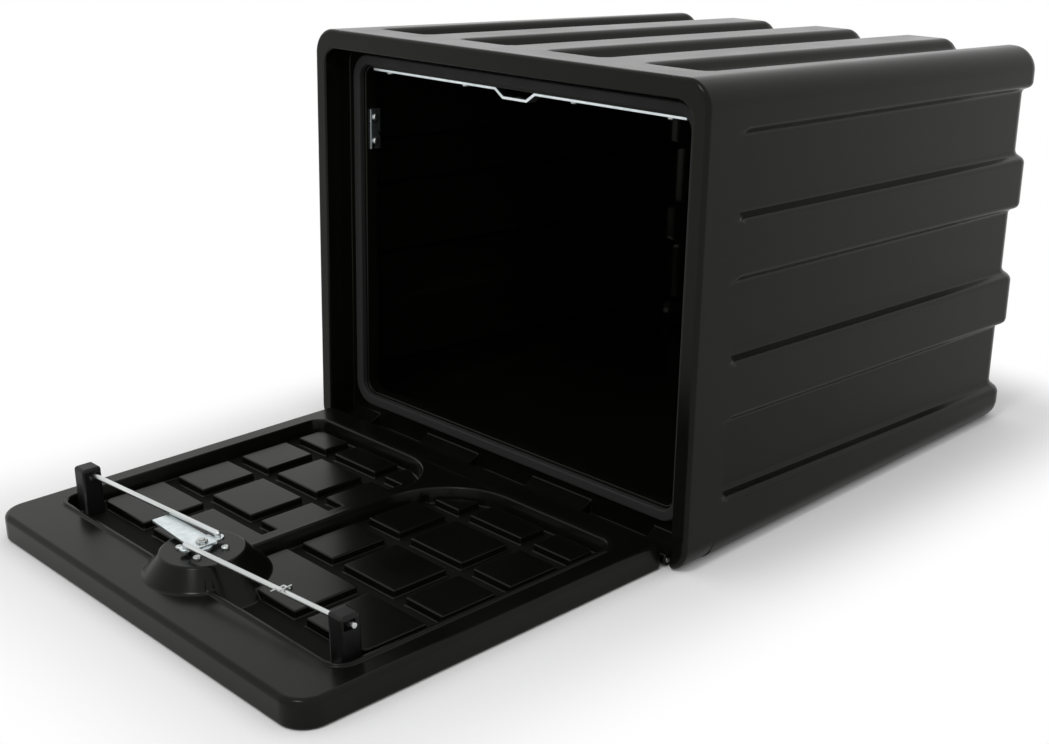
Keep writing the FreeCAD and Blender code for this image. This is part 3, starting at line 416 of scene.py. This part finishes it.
@dataclass
class FinishedNode:
    """A CAD node made ready to be seen: merged, its hard edges softened, and dressed."""

    node: str
    body: str
    slot: str
    finish: Finish
    radius_mm: float = 0.5
    hard_deg: float = 30.0
    segments: int = 2
    seam: Seam | None = None
    hollow_mm: float | None = None

    def build(self) -> bpy.types.Object:
        """Build the piece and put it in the node's place.

        Returns:
            The finished piece.
        """
        shape = merged_copy(self.node)
        if self.radius_mm > 0:
            self.soften(shape)
        if self.hollow_mm is not None:
            self.mark_hollows(shape)
        mesh = bpy.data.meshes.new(f"finished_{self.node}")
        shape.to_mesh(mesh)
        shape.free()
        mesh.materials.append(self.finish.material())
        piece = link(f"finished_{self.node}", mesh)
        shade(piece, self.hard_deg + SHARP_MARGIN_DEG)
        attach(piece, self.body)
        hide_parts(self.node)
        LOG.info("%s: %d faces", piece.name, len(piece.data.polygons))
        return piece

    def soften(self, shape: bmesh.types.BMesh) -> None:
        """Round the hard edges and mark the faces that this makes.

        Args:
            shape: Shape whose edges are rounded.
        """
        outline = Outline.of(shape)
        edge_layer = shape.faces.layers.float.new(EDGE_MARK)
        hard = [edge for edge in shape.edges if self.is_hard(edge)]
        if not hard:
            return
        made = bmesh.ops.bevel(
            shape, geom=hard, offset=self.radius_mm * MM, offset_type="OFFSET",
            segments=self.segments, profile=0.5, affect="EDGES", material=-1,
            clamp_overlap=False, loop_slide=True,
        )
        for face in made["faces"]:
            face[edge_layer] = 1.0
        moved = outline.settle(shape, self.radius_mm * MM)
        LOG.info("%s: %d corners settled", self.node, moved)

    def mark_hollows(self, shape: bmesh.types.BMesh) -> None:
        """Mark the level faces at the height of the hollows' floor, which the finish darkens as
        painted shade and dulls.

        Args:
            shape: Shape whose faces are marked.
        """
        layer = shape.faces.layers.float.new(HOLLOW_SHADE_AND_DULL_MARK)
        shape.normal_update()
        for face in shape.faces:
            off_floor = abs(face.calc_center_median().z - self.hollow_mm * MM)
            if face.normal.z > LEVEL_SHARE and off_floor < PLANE_MM * MM:
                face[layer] = 1.0

    def is_hard(self, edge: bmesh.types.BMEdge) -> bool:
        """True for an edge that turns by more than the hard angle."""
        if len(edge.link_faces) != 2 or (self.seam and self.seam.holds(edge)):
            return False
        return edge.calc_face_angle(0.0) > math.radians(self.hard_deg)


class Assembly:
    """Pieces that are built together."""

    def parts(self) -> list[FinishedNode]:
        """The CAD nodes that the assembly finishes."""
        raise NotImplementedError

    def build(self) -> None:
        """Build every piece of the assembly."""
        for part in self.parts():
            part.build()


@dataclass
class Case(Assembly):
    """The standing half: shell, front frame, seal, keepers, roof strip and hinge rod."""

    rim_edge_mm: float = 1.2
    rod_edge_mm: float = 0.4
    plate_edge_mm: float = 0.3

    def parts(self) -> list[FinishedNode]:
        """The CAD nodes that the case finishes, of which shell, seal and screws are round enough."""
        plates = ("roof_strip", "keeper_left", "keeper_right")
        screws = ("roof_strip_screws", "keeper_screws", "stay_screw")
        return [
            FinishedNode("case_shell", "case", "shell_plastic", POLYETHYLENE, 0),
            FinishedNode(
                "front_frame", "case", "shell_plastic", POLYETHYLENE, self.rim_edge_mm,
                seam=FRAME_SEAM,
            ),
            FinishedNode("door_seal", "case", "seal_rubber", SEAL_RUBBER, 0),
            FinishedNode("hinge_rod", "case", "rod_steel", ZINC_WIRE, self.rod_edge_mm),
            *(
                FinishedNode(node, "case", "zinc_plate", ZINC_SHEET, self.plate_edge_mm)
                for node in plates
            ),
            *(FinishedNode(node, "case", "screw_steel", ZINC_SCREW, 0) for node in screws),
        ]


@dataclass
class Door(Assembly):
    """The drop door: outer tray, inner moulding, guide posts and lock housing."""

    tray_edge_mm: float = 0.6
    pan_edge_mm: float = 1.5
    pan_edge_steps: int = 3
    pan_floor_mm: float = 11.5
    housing_edge_mm: float = 0.5

    def parts(self) -> list[FinishedNode]:
        """The CAD nodes that the door finishes, of which posts and screws are round enough."""
        return [
            FinishedNode(
                "door_outer", "door", "shell_plastic", POLYETHYLENE, self.tray_edge_mm,
                seam=WELD_SEAM,
            ),
            FinishedNode(
                "door_inner", "door", "shell_plastic", POLYETHYLENE, self.pan_edge_mm,
                segments=self.pan_edge_steps, seam=WELD_SEAM, hollow_mm=self.pan_floor_mm,
            ),
            FinishedNode("lock_housing", "door", "handle_black", POWDER_COAT, self.housing_edge_mm),
            FinishedNode("lock_screws", "door", "screw_steel", ZINC_SCREW, 0),
            FinishedNode("guide_left", "door", "guide_plastic", NYLON, 0),
            FinishedNode("guide_right", "door", "guide_plastic", NYLON, 0),
            FinishedNode("guide_screws", "door", "screw_steel", ZINC_SCREW, 0),
        ]


@dataclass
class Latch(Assembly):
    """What the handle turns: handle, spindle, cam plate, rods, clip and lock plug."""

    handle_edge_mm: float = 0.8
    spindle_edge_mm: float = 0.3
    plate_edge_mm: float = 0.35
    nut_edge_mm: float = 0.4
    plug_edge_mm: float = 0.2
    rod_edge_mm: float = 0.3

    def parts(self) -> list[FinishedNode]:
        """The CAD nodes that the latch finishes."""
        return [
            FinishedNode("t_handle", "latch", "handle_black", POWDER_COAT, self.handle_edge_mm),
            FinishedNode("spindle", "latch", "rod_steel", ZINC_SCREW, self.spindle_edge_mm),
            FinishedNode("spacer", "latch", "zinc_plate", ZINC_SHEET, self.spindle_edge_mm),
            FinishedNode("cam_plate", "latch", "zinc_plate", ZINC_SHEET, self.plate_edge_mm),
            FinishedNode("spindle_nut", "latch", "screw_steel", ZINC_SCREW, self.nut_edge_mm),
            FinishedNode("lock_plug", "lock_barrel", "lock_brass", NICKEL, self.plug_edge_mm),
            FinishedNode("rod_left", "left_rod", "rod_steel", ZINC_WIRE, self.rod_edge_mm),
            FinishedNode("rod_right", "right_rod", "rod_steel", ZINC_WIRE, self.rod_edge_mm),
            FinishedNode("rod_clip", "right_rod", "screw_steel", ZINC_SCREW, 0),
        ]


@dataclass(frozen=True)
class Lamp:
    """A soft round lamp."""

    name: str
    place: tuple[float, float, float]
    size: float
    power: float

    def hang(self, target: Vector) -> None:
        """Hang the lamp, facing a point.

        Args:
            target: Point that it faces.
        """
        lamp = bpy.data.lights.new(self.name, "AREA")
        lamp.shape = "DISK"
        lamp.size = self.size
        lamp.energy = self.power
        holder = bpy.data.objects.new(self.name, lamp)
        holder.location = self.place
        holder.rotation_euler = (target - Vector(self.place)).to_track_quat("-Z", "Y").to_euler()
        bpy.context.scene.collection.objects.link(holder)


@dataclass
class Studio:
    """Floor, light and camera, none of them part of the object.

    The floor turns from lit paper to plain white between two distances from the object's
    rectangular outline: from paper_near to paper_far in the picture, and to mirrored_far in
    what shiny pieces mirror. The camera's values were fitted to the picture's straight edges.
    """

    floor_size: float = 30.0
    floor_colour: str = "f4f4f4"
    floor_fibre_mm: float = 30.0
    floor_roughness: tuple[float, float] = (0.85, 0.95)
    paper_near: float = 0.01
    paper_far: float = 0.14
    mirrored_far: float = 1.6
    outline_y: float = -0.176
    outline_half: tuple[float, float] = (0.25, 0.449)
    sky_strength: float = 0.8
    lamp_target: tuple[float, float, float] = (0.0, 0.0, 0.2)
    eye_mm: tuple[float, float, float] = (1003.2, -1129.33, 583.26)
    eye_turn_deg: tuple[float, float, float] = (70.7936, 0.8016, 47.0316)
    focal_px: float = 1551.58
    image_px: tuple[int, int] = (1049, 744)
    centre_px: tuple[float, float] = (520.38, 367.42)
    sensor_mm: float = 36.0
    sight: tuple[float, float] = (0.05, 100.0)
    key_lamp: Lamp = Lamp("key", (0.42, -1.75, 2.35), 0.6, 15.0)

    @staticmethod
    def seen(tree: bpy.types.NodeTree) -> bpy.types.NodeSocket:
        """Output that is 1 for rays that show a thing, and 0 for those that only light it.

        Args:
            tree: Node tree to add to.

        Returns:
            The output.
        """
        path = add_node(tree, "LightPath").outputs
        direct = add_node(
            tree, "Math", links={0: path["Is Camera Ray"], 1: path["Is Glossy Ray"]},
            operation="MAXIMUM",
        ).outputs[0]
        return add_node(
            tree, "Math", links={0: direct, 1: path["Is Transmission Ray"]}, operation="MAXIMUM"
        ).outputs[0]

    def distance_from_object(
        self, tree: bpy.types.NodeTree, place: bpy.types.NodeSocket
    ) -> bpy.types.NodeSocket:
        """Distance of a point on the floor from the object's rectangular outline.

        Args:
            tree: Node tree to add to.
            place: Coordinates of the point.

        Returns:
            The distance output, 0 under the object.
        """
        centre = add_node(
            tree, "VectorMath", {1: (0.0, self.outline_y, 0.0)}, {0: place}, operation="SUBTRACT"
        ).outputs[0]
        side = add_node(tree, "VectorMath", links={0: centre}, operation="ABSOLUTE").outputs[0]
        over = add_node(
            tree, "VectorMath", {1: (*self.outline_half, 0.0)}, {0: side}, operation="SUBTRACT"
        ).outputs[0]
        beyond = add_node(
            tree, "VectorMath", {1: (0.0, 0.0, 0.0)}, {0: over}, operation="MAXIMUM"
        ).outputs[0]
        return add_node(tree, "VectorMath", links={0: beyond}, operation="LENGTH").outputs["Value"]

    def floor(self) -> bpy.types.Object:
        """Lay the floor in the plane z = 0.

        Returns:
            The floor.
        """
        sheet = bmesh.new()
        bmesh.ops.create_grid(sheet, x_segments=1, y_segments=1, size=self.floor_size / 2)
        mesh = bpy.data.meshes.new("floor")
        sheet.to_mesh(mesh)
        sheet.free()
        floor = link("floor", mesh)
        material = bpy.data.materials.new("pale_paper")
        material.use_nodes = True
        tree = material.node_tree
        tree.nodes.clear()
        place = add_node(tree, "TexCoord").outputs["Object"]
        fibre = add_node(
            tree, "TexNoise", {"Scale": per_mm(self.floor_fibre_mm)}, {"Vector": place}
        ).outputs["Fac"]
        smoothest, roughest = self.floor_roughness
        rough = add_node(
            tree, "MapRange", {"To Min": smoothest, "To Max": roughest}, {"Value": fibre}
        ).outputs["Result"]
        shader = add_node(
            tree, "BsdfPrincipled",
            {"Base Color": srgb(self.floor_colour), "Specular IOR Level": 0.0}, {"Roughness": rough},
        )
        away = self.distance_from_object(tree, place)
        near_fade, far_fade = (
            add_node(
                tree, "MapRange", {"From Min": self.paper_near, "From Max": end}, {"Value": away},
                interpolation_type="SMOOTHSTEP",
            ).outputs["Result"]
            for end in (self.paper_far, self.mirrored_far)
        )
        camera_ray = add_node(tree, "LightPath").outputs["Is Camera Ray"]
        far = add_node(tree, "Mix", links={0: camera_ray, 2: far_fade, 3: near_fade}).outputs[0]
        faded = add_node(
            tree, "Math", links={0: far, 1: self.seen(tree)}, operation="MULTIPLY"
        ).outputs[0]
        white = add_node(tree, "Emission", {"Color": srgb("ffffff"), "Strength": 1.0})
        mixed = add_node(
            tree, "MixShader",
            links={0: faded, 1: shader.outputs["BSDF"], 2: white.outputs["Emission"]},
        )
        add_node(tree, "OutputMaterial", links={"Surface": mixed.outputs["Shader"]})
        mesh.materials.append(material)
        return floor

    def sky(self) -> None:
        """Light the scene evenly, and show white where a ray meets nothing."""
        world = bpy.data.worlds.new("studio")
        bpy.context.scene.world = world
        world.use_nodes = True
        tree = world.node_tree
        tree.nodes.clear()
        strength = add_node(
            tree, "MapRange", {"To Min": self.sky_strength, "To Max": 1.0}, {"Value": self.seen(tree)}
        ).outputs["Result"]
        back = add_node(tree, "Background", {"Color": srgb("ffffff")}, {"Strength": strength})
        add_node(tree, "OutputWorld", links={"Surface": back.outputs["Background"]})

    def camera(self) -> None:
        """Set up the camera that sees the case as the photograph does."""
        width, height = self.image_px
        lens = bpy.data.cameras.new("camera")
        lens.sensor_width = self.sensor_mm
        lens.lens = self.focal_px * self.sensor_mm / width
        lens.shift_x = (width / 2 - self.centre_px[0]) / width
        lens.shift_y = (self.centre_px[1] - height / 2) / width
        lens.clip_start, lens.clip_end = self.sight
        holder = bpy.data.objects.new("camera", lens)
        turn = Euler([math.radians(angle) for angle in self.eye_turn_deg], "XYZ")
        holder.matrix_world = Matrix.Translation(Vector(self.eye_mm) * MM) @ turn.to_matrix().to_4x4()
        bpy.context.scene.collection.objects.link(holder)
        bpy.context.scene.camera = holder

    def build(self) -> None:
        """Build the studio."""
        self.floor()
        self.sky()
        self.key_lamp.hang(Vector(self.lamp_target))
        self.camera()
        bpy.context.scene.view_settings.view_transform = "Standard"


def main() -> None:
    """Build the case, its door, its latch and the studio."""
    logging.basicConfig(level=logging.INFO, format="%(name)s: %(message)s")
    Case().build()
    Door().build()
    Latch().build()
    Studio().build()


if __name__ == "__main__":
    main()
